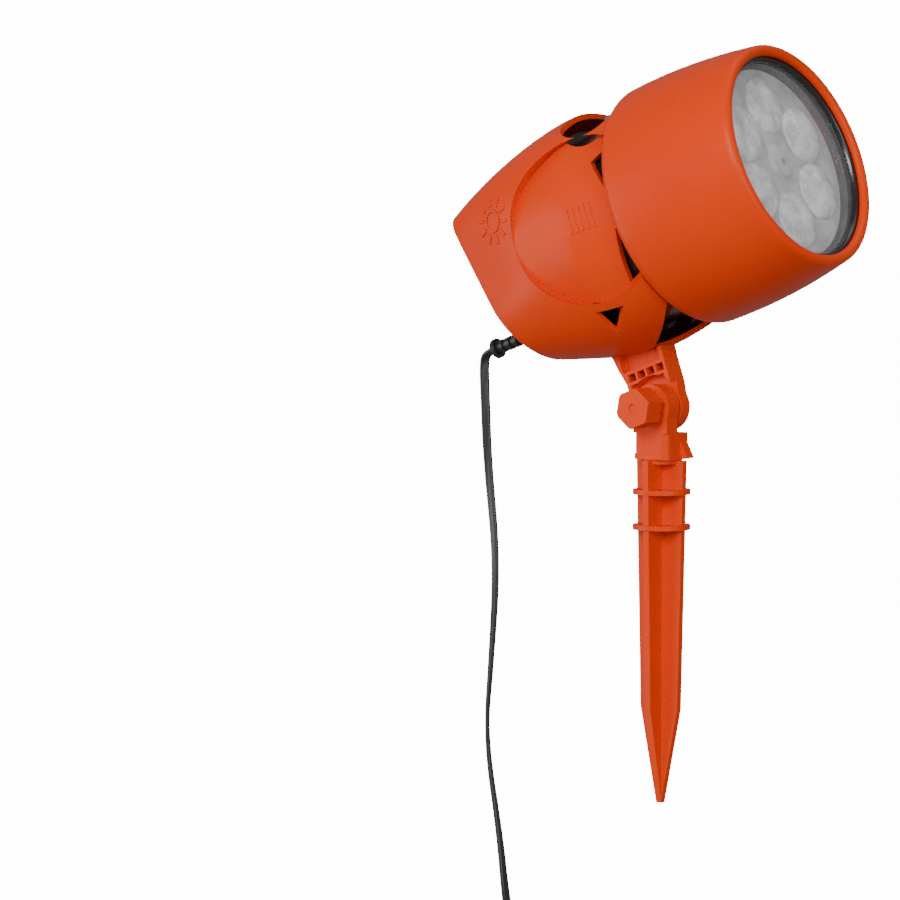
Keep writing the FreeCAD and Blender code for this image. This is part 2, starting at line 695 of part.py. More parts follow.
def make_driver():
    board = box("driver", (d.driver_long, d.driver_wide, d.board_thick),
                (-d.driver_back, -d.driver_wide / 2, d.driver_up))
    finished(group("driver_set", [board]), "driver_board", HEAD)
    top = d.driver_up + d.board_thick
    back = -d.driver_back
    parts = [
        rod("capacitor", CAPACITOR_RADIUS, CAPACITOR_HIGH, (back + 7, -14, top)),
        box("transformer", TRANSFORMER_SIZE, (back + 6, 0, top)),
        box("chip", CHIP_SIZE, (back + 14, -8, top)),
    ]
    finished(group("driver_parts_set", parts), "driver_parts", HEAD)


# ---------------------------------------------------------------- neck bracket and hinge

# the neck bracket's side outline and its moulded recesses, from the hinge's centre as (ahead, above)
NECK_OUTLINE = [(-11.6, 8), (-11.8, 14), (-14, 21), (-16.5, 32), (12, 32), (11, 20), (11, 8), (9.8, 0),
                (5, -6)]
NECK_POCKETS = [(-10, 14.4), (-4.8, 14.4), (0.4, 14.4), (5.6, 14.4)]
NECK_POCKET_SIZE = (4, 3.4)
NECK_RECESSES = [((-9.8, 8), (18.6, 5)), ((-12, 19.2), (21, 12))]
RECESS_DEPTH = 3


def make_neck():
    behind = -d.hinge_behind_rim
    below = -d.hinge_below_axis
    width = d.neck_near + d.neck_far
    body = doc.addObject("PartDesign::Body", "neck")
    padded(body, "neck_block", "XZ_Plane", [(behind + ahead, below + above)
                                            for ahead, above in NECK_OUTLINE], width)
    body.Placement.Base = point(0, (d.neck_far - d.neck_near) / 2, 0)
    eye = rod("neck_eye", d.eye_radius, d.neck_far - d.side_gap,
              (HINGE_HEAD[0], d.side_gap, HINGE_HEAD[2]), ALONG_Y)
    room = rod("neck_room", d.spring_gap, d.cheek_half + d.side_gap + 1,
               (HINGE_HEAD[0], -d.cheek_half - 1, HINGE_HEAD[2]), ALONG_Y)
    bore = rod("neck_bore", d.bolt_radius, d.through, (HINGE_HEAD[0], -d.through / 2, HINGE_HEAD[2]),
               ALONG_Y)
    long, high = NECK_POCKET_SIZE
    tools = [box("neck_pocket_%d" % index, (long, width - d.neck_floor, high),
                 (behind + ahead, -d.neck_near, below + above))
             for index, (ahead, above) in enumerate(NECK_POCKETS)]
    tools += [box("neck_recess_%d" % index, (size[0], RECESS_DEPTH, size[1]),
                  (behind + ahead, -d.neck_near, below + above))
              for index, ((ahead, above), size) in enumerate(NECK_RECESSES)]
    eye_and_block = fuse("neck_joined", [body, eye])
    skin = feature("neck_skin", shell_outer())
    rough = cut("neck_rough", eye_and_block, fuse("neck_cuts", [room, bore] + tools))
    finished(cut("neck_cut", rough, skin), "neck_bracket", HEAD)


def hinge_rod(name, radius, start, length):
    return rod(name, radius, length, (HINGE_HEAD[0], start, HINGE_HEAD[2]), ALONG_Y)


def hexagon(name, across, start, length):
    item = doc.addObject("Part::Prism", name)
    item.Polygon = 6
    bind(item, "Circumradius", across)
    bind(item, "Height", length)
    move_to(item, (HINGE_HEAD[0], start, HINGE_HEAD[2]), ALONG_Y)
    return item


def make_hinge():
    knob_inner = -d.cheek_half - d.side_gap
    shank_outer = knob_inner - d.shank_long
    knob_outer = shank_outer - d.knob_long
    bolt_end = shank_outer - d.knob_long * 0.6
    bolt = hinge_rod("bolt_shank", d.bolt_radius, bolt_end, d.neck_far - bolt_end)
    head = hexagon("bolt_hex", d.bolt_head, d.neck_far, d.bolt_head_high)
    finished(fuse("bolt", [bolt, head]), "hinge_bolt", HEAD)

    washer = rod("washer_disc", d.stake_eye - 0.5, d.washer_thick, (0, -d.washer_thick, d.hinge_height),
                 ALONG_Y)
    hole = rod("washer_hole", d.bolt_radius + d.bolt_fit, 4, (0, -2, d.hinge_height), ALONG_Y)
    finished(cut("washer", washer, hole), "hinge_washer")

    insert_start = bolt_end
    pocket = hexagon("knob_pocket", d.insert_across, insert_start, d.insert_long)
    bore = hinge_rod("knob_bore", d.bolt_radius + d.bolt_fit, bolt_end - 0.5, 60)
    block = hexagon("knob_hex", d.knob_across, knob_outer, d.knob_long)
    dome = doc.addObject("Part::Sphere", "knob_dome")
    bind(dome, "Radius", d.dome_radius)
    move_to(dome, (HINGE_HEAD[0], knob_outer + d.dome_back, HINGE_HEAD[2]))
    shank = hinge_rod("knob_shank", d.shank_radius, shank_outer, d.shank_long)
    dimple = hinge_rod("knob_dimple", d.dimple_radius, knob_outer - 3, d.dimple_depth + 3)
    rounded = common("knob_rounded", [block, dome])
    solid = fuse("knob_solid", [rounded, shank])
    finished(cut("knob", solid, fuse("knob_cuts", [pocket, bore, dimple])), "tension_knob", HEAD)
    nut = hexagon("insert_hex", d.insert_across, insert_start, d.insert_long)
    thread = hinge_rod("insert_bore", d.bolt_radius + d.bolt_fit, insert_start - 1, d.insert_long + 2)
    finished(cut("insert", nut, thread), "knob_insert", HEAD)


# ---------------------------------------------------------------- stake

def make_stake_head():
    half = d.block_half
    block = rounded_block("block", (2 * half, 2 * half, d.block_top - d.block_bottom),
                          (-half, -half, d.block_bottom), d.block_round)
    lip = rounded_block("lip", (2 * d.lip_half, 2 * d.lip_half, d.lip_high),
                        (-d.lip_half, -d.lip_half, d.block_bottom), d.lip_round)
    thick = d.cheek_half - d.washer_thick
    cheek = box("cheek", (2 * d.block_half, thick, d.hinge_height - d.block_top),
                (-d.block_half, -d.cheek_half, d.block_top))
    eye = rod("stake_eye", d.stake_eye, thick, (0, -d.cheek_half, d.hinge_height), ALONG_Y)
    bore = rod("stake_bore", d.bolt_radius + d.bolt_fit, d.through, (0, -d.through / 2, d.hinge_height),
               ALONG_Y)
    socket = rod("stake_socket", d.spigot_radius, d.spigot_top - d.block_bottom, (0, 0, d.block_bottom))
    barb = doc.addObject("PartDesign::Body", "barb")
    padded(barb, "barb_pad", "XZ_Plane", [
        (d.lip_half - d.barb_sink, d.block_bottom + d.barb_sink),
        (d.lip_half - d.barb_sink, d.block_bottom + d.barb_high),
        (d.lip_half + d.barb_out, d.block_bottom + d.barb_sink),
    ], d.barb_wide)
    barb.Placement.Base = point(0, d.barb_aside, 0)
    solid = fuse("stake_head_solid", [block, lip, cheek, eye, barb])
    finished(cut("stake_head_cut", solid, fuse("stake_head_cuts", [bore, socket])), "stake_head")


def make_stake():
    body = doc.addObject("PartDesign::Body", "stake")
    blade = [
        (-d.fin_top_half, d.fin_top),
        (-d.fin_low_half, d.fin_low),
        (-d.tip_half, d.tip_depth),
        (d.tip_half, d.tip_depth),
        (d.fin_low_half, d.fin_low),
        (d.fin_top_half, d.fin_top),
    ]
    padded(body, "side_blade", "XZ_Plane", blade, d.fin_width)
    padded(body, "front_blade", "YZ_Plane", blade, d.fin_width)
    discs = [rod("collar_%d" % index, d.collar_radius, d.collar_thick, (0, 0, d.collar_pitch * index))
             for index in range(2)]
    cap = rod("stake_cap", d.block_half, 2, (0, 0, d.block_bottom - 2))
    spigot = rod("spigot", d.spigot_radius, d.spigot_top - d.block_bottom, (0, 0, d.block_bottom))
    finished(fuse("stake_solid", [body, cap, spigot] + discs), "ground_stake")


# ---------------------------------------------------------------- lead, coil and plug

def in_world(along, up):
    """A point of the head's middle plane, in the part's own frame."""
    return HEAD.multVec(point(along, 0, up))


def make_relief():
    visible = d.relief_end - d.relief_flange_long
    body = rod("relief_body", d.relief_radius, visible - d.relief_start,
               (-visible, 0, -d.relief_down), ALONG_X)
    flange = rod("relief_flange", d.relief_flange, d.relief_flange_long,
                 (-d.relief_end, 0, -d.relief_down), ALONG_X)
    finished(fuse("relief", [body, flange]), "strain_relief", HEAD)


def rounded_route(route):
    """Straight runs joined by tangent arcs; each arc is as large as its two runs allow."""
    edges = []
    start = route[0]
    for before, corner, after in zip(route, route[1:], route[2:]):
        inward = (before - corner).normalize()
        outward = (after - corner).normalize()
        half_turn = (math.pi - inward.getAngle(outward)) / 2
        shorter = min((before - corner).Length, (after - corner).Length)
        reach = 0.45 * shorter
        radius = reach / math.tan(half_turn)
        print("cord bend radius %.1f mm, turn %.0f degrees" % (radius, math.degrees(2 * half_turn)))
        first = corner + inward * reach
        last = corner + outward * reach
        centre_way = (inward + outward).normalize()
        centre = corner + centre_way * (radius / math.cos(half_turn))
        middle = centre - centre_way * radius
        edges.append(Part.LineSegment(start, first).toShape())
        edges.append(Part.Arc(first, middle, last).toShape())
        start = last
    edges.append(Part.LineSegment(start, route[-1]).toShape())
    return Part.Wire(edges)


def make_lead():
    exit_point = in_world(-d.relief_end, -d.relief_down)
    way_out = in_world(-d.relief_end - 1, -d.relief_down) - exit_point
    bend = FreeCAD.Vector(way_out.x * 0.62, 0, -0.82)
    route = [exit_point, exit_point + way_out * 4.4, exit_point + way_out * 4.4 + bend * 4.4]
    route += [FreeCAD.Vector(*spot) for spot in LEAD_ROUTE]
    path = rounded_route(route)
    radius = float(d.cord_radius)
    circle = Part.Wire(Part.makeCircle(radius, exit_point, way_out))
    tube = path.makePipeShell([circle], True, True)
    expected = math.pi * radius * radius * path.Length
    print("cord tube volume / expected %.4f, length %.1f mm" % (tube.Volume / expected, path.Length))
    finished(feature("lead", tube), "cord_lead")


def coil_height():
    """The middle height of the coil, whose tie rests on the floor."""
    return d.floor_height + d.tie_wall + d.coil_half


def tail_placement():
    """The frame of the lead's tail and its plug: X points along them, away from the coil."""
    turn = FreeCAD.Rotation(FreeCAD.Vector(0, 0, 1), float(d.tail_turn))
    return FreeCAD.Placement(point(d.coil_x + d.tail_radius, 0, 0), turn)


def make_coil():
    half = d.coil_half
    bevel = d.coil_round
    corners = []
    for across, up in ((1, 1), (-1, 1), (-1, -1), (1, -1)):
        first = (d.coil_radius + across * half, up * (half - bevel))
        second = (d.coil_radius + across * (half - bevel), up * half)
        corners += [first, second] if across * up == 1 else [second, first]
    ring = turned("ring_turned", corners, "V_Axis")
    move_to(ring, (d.coil_x, 0, coil_height()))
    tail = rod("tail", d.cord_radius, d.tail_long, (0, 0, d.floor_height + d.plug_high / 2), ALONG_X)
    tail.Placement = tail_placement().multiply(tail.Placement)
    finished(fuse("coil", [ring, group("tail_set", [tail])]), "cord_coil")
    long = d.tie_long
    outer = 2 * (half + d.tie_wall)
    band = box("tie_band", (long, outer, outer),
               (d.coil_x - long / 2, d.coil_radius - outer / 2, coil_height() - outer / 2))
    hole = box("tie_hole", (long, 2 * half, 2 * half),
               (d.coil_x - long / 2, d.coil_radius - half, coil_height() - half))
    finished(cut("tie", band, hole), "cord_tie")


def make_plug():
    body = rounded_block("plug_block", (d.plug_long, d.plug_wide, d.plug_high),
                         (d.tail_long, -d.plug_wide / 2, d.floor_height), d.plug_round)
    finished(group("plug", [body]), "plug_body", tail_placement())
    blades = []
    for index, hand in enumerate((-1, 1)):
        across = d.blade_gap / 2 * hand - d.blade_thick / 2
        blades.append(box("blade_%d" % index, (d.blade_long, d.blade_thick, d.blade_high),
                          (d.tail_long + d.plug_long, across,
                           d.floor_height + d.plug_high / 2 - d.blade_high / 2)))
    finished(group("blades", blades), "plug_blades", tail_placement())


# the lead's way down from its strain relief to the coil, in the part's own frame
LEAD_ROUTE = [
    (-98.8, 0, 56), (-97.4, 0, 26), (-91.8, 0, -20), (-95.2, 0, -66), (-98.6, 0, -101),
    (-90.2, 0, -145), (-85.5, -2, -170), (-84.3, -0.5, -183), (-82.7, 4.5, -193),
    (-78.8, 13.75, -197.3),
]

make_front_hood()
make_glazing()
make_rear_shell()
make_barrel()
make_gate()
make_slide()
make_projection_optics()
make_spinning_lens()
make_motor()
make_light_engine()
make_driver()
make_neck()
make_hinge()
make_stake_head()
make_stake()
make_relief()
make_lead()
make_coil()
make_plug()

doc.recompute()
faults = [item.Name for item in doc.Objects if "Invalid" in item.State or "Error" in item.State]
faults += [item.Label for item in nodes if item.Shape.isNull() or not item.Shape.isValid()]
if faults:
    raise RuntimeError("these objects failed: " + ", ".join(faults))
for item in nodes:
    item.Shape.exportStep("parts/%s.step" % item.Label)
    room = item.Shape.BoundBox
    print("%-18s solids %d volume %9.1f  X %7.1f %7.1f  Y %7.1f %7.1f  Z %7.1f %7.1f" % (
        item.Label, len(item.Shape.Solids), item.Shape.Volume, room.XMin, room.XMax,
        room.YMin, room.YMax, room.ZMin, room.ZMax))
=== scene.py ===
import bmesh
import bpy
import json
from math import cos, pi, radians, sin, sqrt
from mathutils import Matrix, Vector
from mathutils.bvhtree import BVHTree


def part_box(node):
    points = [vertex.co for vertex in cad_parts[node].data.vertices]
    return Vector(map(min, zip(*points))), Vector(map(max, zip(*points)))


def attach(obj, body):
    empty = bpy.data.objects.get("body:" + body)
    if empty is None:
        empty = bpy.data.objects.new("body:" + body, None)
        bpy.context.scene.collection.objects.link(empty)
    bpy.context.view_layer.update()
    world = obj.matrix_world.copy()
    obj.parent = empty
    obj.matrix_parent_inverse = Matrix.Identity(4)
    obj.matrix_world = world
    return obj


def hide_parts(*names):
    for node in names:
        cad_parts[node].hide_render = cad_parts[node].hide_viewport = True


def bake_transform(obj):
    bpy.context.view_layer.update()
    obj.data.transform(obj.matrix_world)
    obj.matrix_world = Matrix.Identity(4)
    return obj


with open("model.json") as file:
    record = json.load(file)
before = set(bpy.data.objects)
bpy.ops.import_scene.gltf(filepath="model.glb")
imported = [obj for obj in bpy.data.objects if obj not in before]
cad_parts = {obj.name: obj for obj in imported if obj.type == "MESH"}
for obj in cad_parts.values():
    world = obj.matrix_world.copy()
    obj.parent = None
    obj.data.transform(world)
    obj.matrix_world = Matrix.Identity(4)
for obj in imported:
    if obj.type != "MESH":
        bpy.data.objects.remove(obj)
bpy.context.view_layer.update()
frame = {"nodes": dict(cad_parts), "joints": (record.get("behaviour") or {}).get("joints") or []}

# ---------------------------------------------------------------- camera, light and ground
# The lamp is seen from the tension knob's side, a little in front of it and just above the ground
# line, through a long lens. The floor lies under the coiled rest of the lead.

MM = 0.001
VIEW_AZIMUTH = radians(35.4)
VIEW_ELEVATION = radians(2.6)
VIEW_DISTANCE = 1.5
FRAME_WIDTH = 0.3953
LOOK_LEFT = 0.0930
LOOK_DOWN = 0.0255
SENSOR = 36
floor_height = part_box("cord_tie")[0].z

view_back = Vector((sin(VIEW_AZIMUTH) * cos(VIEW_ELEVATION), -cos(VIEW_AZIMUTH) * cos(VIEW_ELEVATION),
                    sin(VIEW_ELEVATION)))
view_right = Vector((cos(VIEW_AZIMUTH), sin(VIEW_AZIMUTH), 0))
view_up = view_back.cross(view_right)
SEEN_HEIGHT = 0.06
seen_point = Vector((0, 0, SEEN_HEIGHT))
aim = seen_point - view_right * LOOK_LEFT - view_up * LOOK_DOWN
camera_data = bpy.data.cameras.new("camera")
camera_data.sensor_width = SENSOR
camera_data.lens = SENSOR * VIEW_DISTANCE / FRAME_WIDTH
camera_data.dof.use_dof = False
camera = bpy.data.objects.new("camera", camera_data)
bpy.context.scene.collection.objects.link(camera)
camera.location = seen_point + view_back * VIEW_DISTANCE
camera.rotation_mode = "QUATERNION"
camera.rotation_quaternion = (aim - camera.location).to_track_quat("-Z", "Y")
bpy.context.scene.camera = camera


def area_light(name, place, target, size, power):
    """A square softbox that points at the target."""
    data = bpy.data.lights.new(name, "AREA")
    data.shape = "SQUARE"
    data.size = size
    data.energy = power
    lamp = bpy.data.objects.new(name, data)
    lamp.location = place
    lamp.rotation_mode = "QUATERNION"
    lamp.rotation_quaternion = (target - Vector(place)).to_track_quat("-Z", "Y")
    bpy.context.scene.collection.objects.link(lamp)


LAMP_MIDDLE = Vector((0, 0, 0.14))
# each softbox: its place and width in metres, and its power in watts
SOFTBOXES = {
    "key": ((0.3, -1.6, 0.75), 0.7, 23),
    "front_fill": ((1.6, -0.9, 0.4), 1.2, 17),
    "side_fill": ((-1.3, -1.0, -0.1), 1.2, 12),
    "top": ((0.2, 0.4, 1.6), 1.0, 4),
}
WORLD_STRENGTH = 0.26
for name, (place, size, power) in SOFTBOXES.items():
    area_light(name, place, LAMP_MIDDLE, size, power)
world = bpy.data.worlds.new("studio")
world.use_nodes = True
world.node_tree.nodes["Background"].inputs["Color"].default_value = (1, 1, 1, 1)
world.node_tree.nodes["Background"].inputs["Strength"].default_value = WORLD_STRENGTH
bpy.context.scene.world = world


def studio_surface(name, shape, glow):
    """Part of the white studio: it glows for the camera alone and lights nothing."""
    mesh = bpy.data.meshes.new(name)
    shape.to_mesh(mesh)
    shape.free()
    paint = bpy.data.materials.new(name)
    paint.use_nodes = True
    shader = paint.node_tree.nodes["Principled BSDF"]
    shader.inputs["Base Color"].default_value = (0.93, 0.93, 0.93, 1)
    shader.inputs["Roughness"].default_value = 0.9
    shader.inputs["Specular IOR Level"].default_value = 0
    shader.inputs["Emission Color"].default_value = (1, 1, 1, 1)
    shader.inputs["Emission Strength"].default_value = glow
    mesh.materials.append(paint)
    surface = bpy.data.objects.new(name, mesh)
    surface.visible_diffuse = False
    surface.visible_glossy = False
    surface.visible_shadow = False
    bpy.context.scene.collection.objects.link(surface)


STUDIO_RADIUS = 12
STUDIO_GLOW = 14
floor_shape = bmesh.new()
bmesh.ops.create_grid(floor_shape, x_segments=1, y_segments=1, size=STUDIO_RADIUS,
                      matrix=Matrix.Translation((0, 0, floor_height)))
studio_surface("floor", floor_shape, STUDIO_GLOW)
backdrop_shape = bmesh.new()
bmesh.ops.create_uvsphere(backdrop_shape, u_segments=32, v_segments=16, radius=STUDIO_RADIUS)
studio_surface("backdrop", backdrop_shape, STUDIO_GLOW)

# ---------------------------------------------------------------- front hood
# The big orange hood is an injection moulding, turned in shape, with a thick rounded lip round the
# light and a soft shoulder where it meets the rear shell. It is screwed to the barrel inside.

joints = {joint["name"]: joint for joint in frame["joints"]}
forward = Vector(joints["lens_spin"]["axis"]).normalized()
head_up = Vector(joints["slide_pull"]["axis"]).normalized()
sideways = head_up.cross(forward)
LENS_BEHIND_RIM = 13.4
rim_centre = Vector(joints["lens_spin"]["pos_m"]) + forward * LENS_BEHIND_RIM * MM
HEAD = Matrix((forward, sideways, head_up)).transposed().to_4x4()
HEAD.translation = rim_centre
HEAD_MM = HEAD @ Matrix.Scale(MM, 4)


class Value:
    """A shader socket whose sums and products add their own Math nodes."""

    def __init__(self, finish, socket):
        self.finish = finish
        self.socket = socket

    def maths(self, operation, first, second):
        return self.finish.node("ShaderNodeMath", {"operation": operation}, {0: first, 1: second})

    def __add__(self, other):
        return self.maths("ADD", self, other)

    def __mul__(self, other):
        return self.maths("MULTIPLY", self, other)


class Finish:
    """A material whose nodes are all added through one method."""

    def __init__(self, name):
        self.material = bpy.data.materials.new(name)
        self.material.use_nodes = True
        self.tree = self.material.node_tree
        self.shader = self.tree.nodes["Principled BSDF"]
        self.place = self.node("ShaderNodeTexCoord", output="Object")

    def node(self, kind, settings=None, inputs=None, output=0):
        node = self.tree.nodes.new(kind)
        for key, value in (settings or {}).items():
            if key == "stops":
                for index, (position, colour) in enumerate(value):
                    element = node.color_ramp.elements[index]
                    element.position = position
                    element.color = colour
            else:
                setattr(node, key, value)
        for key, value in (inputs or {}).items():
            self.feed(node.inputs[key], value)
        return Value(self, node.outputs[output])

    def feed(self, socket, value):
        if isinstance(value, Value):
            self.tree.links.new(value.socket, socket)
        else:
            socket.default_value = value

    def noise(self, size, detail=3, roughness=0.5):
        """Noise whose blotches are about the given size in metres, from 0 to 1."""
        return self.node("ShaderNodeTexNoise", {"noise_dimensions": "3D"}, {
            "Vector": self.place, "Scale": 1 / size, "Detail": detail, "Roughness": roughness})

    def mixed(self, share, first, second):
        """A colour that goes from the first to the second as share goes from 0 to 1."""
        return self.node("ShaderNodeMix", {"data_type": "RGBA"}, {0: share, 6: first, 7: second}, 2)

    def bump(self, height, depth):
        """A surface relief of the given depth in metres where height runs from 0 to 1."""
        return self.node("ShaderNodeBump", None, {"Height": height, "Strength": 1, "Distance": depth})

    def shade(self, **sockets):
        """Sets the shader's sockets; an underscore in a name stands for a space."""
        for name, value in sockets.items():
            self.feed(self.shader.inputs[name.replace("_", " ")], value)
        return self.material


FLOW_MARK_SIZE = 0.045
GRAIN_SIZE = 0.0009
SMEAR_SIZE = 0.012
SMEAR_SPREAD = 0.16
COAT_ROUGHNESS = 0.12


def moulded(name, colour, worn, roughness, grain=0.00002, specular=0.5, coat=0.0):
    """Injection-moulded plastic: faint flow marks in the colour, a fine grain and uneven polish."""
    finish = Finish(name)
    flow = finish.noise(FLOW_MARK_SIZE, 2)
    grain_noise = finish.noise(GRAIN_SIZE, 2, 0.6)
    smears = finish.noise(SMEAR_SIZE, 4, 0.6)
    return finish.shade(
        Base_Color=finish.mixed(flow, colour, worn),
        Roughness=smears * SMEAR_SPREAD + (roughness - SMEAR_SPREAD / 2),
        Normal=finish.bump(grain_noise, grain),
        Specular_IOR_Level=specular,
        Coat_Weight=coat,
        Coat_Roughness=COAT_ROUGHNESS)


ORANGE = (0.76, 0.046, 0.0002, 1)
ORANGE_FLOW = (0.68, 0.039, 0.0001, 1)
orange = moulded("orange_moulding", ORANGE, ORANGE_FLOW, 0.34, specular=0.14)


def piece(name, shape, body, material, soft_angle=30):
    """Makes a shape a named piece; edges gentler than the angle look smooth. It rides on its body, if it is
    given one."""
    mesh = bpy.data.meshes.new(name)
    shape.to_mesh(mesh)
    shape.free()
    mesh.materials.append(material)
    mesh.polygons.foreach_set("use_smooth", [True] * len(mesh.polygons))
    mesh.set_sharp_from_angle(angle=radians(soft_angle))
    item = bpy.data.objects.new(name, mesh)
    bpy.context.scene.collection.objects.link(item)
    if body:
        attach(item, body)
    return item


def arc(start, end, radius, steps):
    """Points of an arc after its start; a positive radius bulges to the left of the way."""
    first = Vector(start)
    last = Vector(end)
    half = (last - first).length / 2
    way = (last - first).normalized()
    left = Vector((-way.y, way.x))
    side = 1 if radius > 0 else -1
    centre = (first + last) / 2 - left * side * sqrt(radius * radius - half * half)
    spread = (first - centre).angle_signed(last - centre)
    points = []
    for step in range(1, steps + 1):
        turned = (first - centre).copy()
        turned.rotate(Matrix.Rotation(-spread * step / steps, 2))
        points.append(tuple(centre + turned))
    return points


def spun(profile, steps=144):
    """A closed profile of (along, radius) points, in mm, turned about the head's optical axis."""
    shape = bmesh.new()
    corners = [shape.verts.new((along, 0, radius)) for along, radius in profile]
    for index, corner in enumerate(corners):
        shape.edges.new((corner, corners[(index + 1) % len(corners)]))
    bmesh.ops.spin(shape, geom=shape.verts[:] + shape.edges[:], cent=(0, 0, 0), axis=(1, 0, 0),
                   angle=2 * pi, steps=steps, use_merge=True)
    bmesh.ops.remove_doubles(shape, verts=shape.verts, dist=0.001)
    bmesh.ops.recalc_face_normals(shape, faces=shape.faces)
    return shape


def rounded(shape, width, sharp=radians(32), segments=2):
    """Rounds a shape's sharp edges, in the shape's own units."""
    edges = [edge for edge in shape.edges if edge.is_manifold and edge.calc_face_angle() > sharp]
    bmesh.ops.bevel(shape, geom=edges, offset=width, offset_type="OFFSET", segments=segments,
                    profile=0.5, affect="EDGES", material=-1, clamp_overlap=True)
    return shape


LIP_FRONT = -1.6
LIP_ROUND = 2.7
RIM_INNER = 45.0
RIM_OUTER = 49.7
HOOD_BOW = 270
HOOD_WALL = 2.8
HOOD_BELLY = 54.6
HOOD_INSIDE = HOOD_BELLY - HOOD_WALL
SHOULDER = -62
SHOULDER_ROUND = 6
HOOD_BACK = -67.2
BACK_OUTER = 51.0
BACK_INNER = 48.6
BACK_EDGE = -64.5
SEAT_END = -6
SEAT_FRONT = -3.4
SEAT_RADIUS = 46.6
INSIDE_FRONT = 49.4
HOOD_EDGE_ROUND = 0.35
hood_profile = [(LIP_FRONT, RIM_INNER)]
hood_profile += arc((LIP_FRONT, RIM_INNER), (LIP_FRONT, RIM_OUTER), -LIP_ROUND, 10)
hood_profile += arc((LIP_FRONT, RIM_OUTER), (SHOULDER, HOOD_BELLY), -HOOD_BOW, 28)
hood_profile += arc((SHOULDER, HOOD_BELLY), (HOOD_BACK, BACK_OUTER), -SHOULDER_ROUND, 8)
hood_profile += [(HOOD_BACK, BACK_INNER), (BACK_EDGE, BACK_INNER), (SHOULDER, HOOD_INSIDE)]
hood_profile += arc((SHOULDER, HOOD_INSIDE), (SEAT_END, INSIDE_FRONT), HOOD_BOW, 12)
hood_profile += [(SEAT_END, SEAT_RADIUS), (SEAT_FRONT, SEAT_RADIUS), (SEAT_FRONT, RIM_INNER)]
hood_shape = rounded(spun(hood_profile), HOOD_EDGE_ROUND)
hood_shape.transform(HEAD_MM)
hood = piece("hood", hood_shape, "head", orange)
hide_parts("front_hood")


def finish_node(node, material):
    """Gives a CAD node a material of its own."""
    item = frame["nodes"][node]
    item.data.materials.clear()
    item.data.materials.append(material)


def softened(node, name, body, width, material, segments=2, sharp=32):
    """A copy of a CAD node with its flat faces joined up and its sharp edges rounded (mm)."""
    shape = bmesh.new()
    shape.from_mesh(frame["nodes"][node].data)
    bmesh.ops.remove_doubles(shape, verts=shape.verts, dist=0.000002)
    bmesh.ops.dissolve_limit(shape, angle_limit=radians(0.6), verts=shape.verts, edges=shape.edges)
    rounded(shape, width * MM, radians(sharp), segments)
    item = piece(name, shape, body, material)
    weighted = item.modifiers.new("even_shading", "WEIGHTED_NORMAL")
    weighted.keep_sharp = True
    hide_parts(node)
    return item


# ---------------------------------------------------------------- light window
# Behind the lip sit a black bezel, a clear cover and the turning lens: a frosted grey disc of clear
# plastic that six round lenses stand on, moulded in one piece and pressed on the motor's shaft.

black = moulded("black_moulding", (0.010, 0.010, 0.011, 1), (0.016, 0.016, 0.018, 1), 0.26, coat=0.3)
softened("lens_ring", "bezel", "head", 0.3, black)

cover_finish = Finish("clear_cover")
cover_dust = cover_finish.noise(0.006, 4, 0.6)
clear_cover = cover_finish.shade(
    Base_Color=(0.85, 0.87, 0.88, 1), Alpha=cover_dust * 0.08 + 0.06, Roughness=cover_dust * 0.1 + 0.03,
    Specular_IOR_Level=0.4)
finish_node("front_cover", clear_cover)

LENS_BASE_RADIUS = 42.6
LENS_BASE_FRONT = 2.0
LENS_HEIGHT = 2.8
PETAL_RADIUS = 12.8
PETAL_CIRCLE = 26
PETAL_COUNT = 6
HUB_RADIUS = 6.4
HUB_FOOT = 2
HUB_RISE = 1.6
HUB_TOP = LENS_HEIGHT + 1
HUB_TOP_RADIUS = 3
LENS_CHAMFER = 0.4


def frosted(name, dark, light, blotch, roughness, depth):
    """Frosted clear plastic over lamps, seen as a mottled grey."""
    finish = Finish(name)
    mottle = finish.noise(blotch, 5, 0.62)
    ramp = finish.node("ShaderNodeValToRGB", {"stops": ((0.36, dark), (0.66, light))}, {0: mottle})
    return finish.shade(Base_Color=ramp, Roughness=mottle * 0.2 + roughness, Coat_Weight=0.25,
                        Normal=finish.bump(mottle, depth))


lens_grey = frosted("frosted_grey", (0.33, 0.34, 0.345, 1), (0.55, 0.56, 0.57, 1), 0.011, 0.3, 0.0006)
petal_grey = frosted("lens_moulding", (0.48, 0.49, 0.50, 1), (0.90, 0.91, 0.92, 1), 0.007, 0.12, 0.0008)
base_profile = [
    (0, 0), (0, LENS_BASE_RADIUS), (LENS_BASE_FRONT, LENS_BASE_RADIUS - LENS_CHAMFER),
    (LENS_BASE_FRONT, HUB_RADIUS + HUB_FOOT), (LENS_BASE_FRONT + HUB_RISE, HUB_RADIUS),
    (HUB_TOP, HUB_TOP_RADIUS), (HUB_TOP, 0)]
base_shape = spun(base_profile, 96)
base_shape.transform(HEAD_MM @ Matrix.Translation((-LENS_BEHIND_RIM, 0, 0)))
lens_disc = piece("lens_disc", base_shape, "rotor", lens_grey)
petal_shape = bmesh.new()
for index in range(PETAL_COUNT):
    turn = Matrix.Rotation(2 * pi * index / PETAL_COUNT, 4, "X")
    place = turn @ Matrix.Translation((LENS_BASE_FRONT - LENS_BEHIND_RIM, 0, PETAL_CIRCLE))
    size = Matrix.Diagonal((LENS_HEIGHT, PETAL_RADIUS, PETAL_RADIUS, 1))
    bmesh.ops.create_uvsphere(petal_shape, u_segments=32, v_segments=18, radius=1,
                              matrix=HEAD_MM @ place @ size)
piece("lens_petals", petal_shape, "rotor", petal_grey)
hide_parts("spinning_lens")

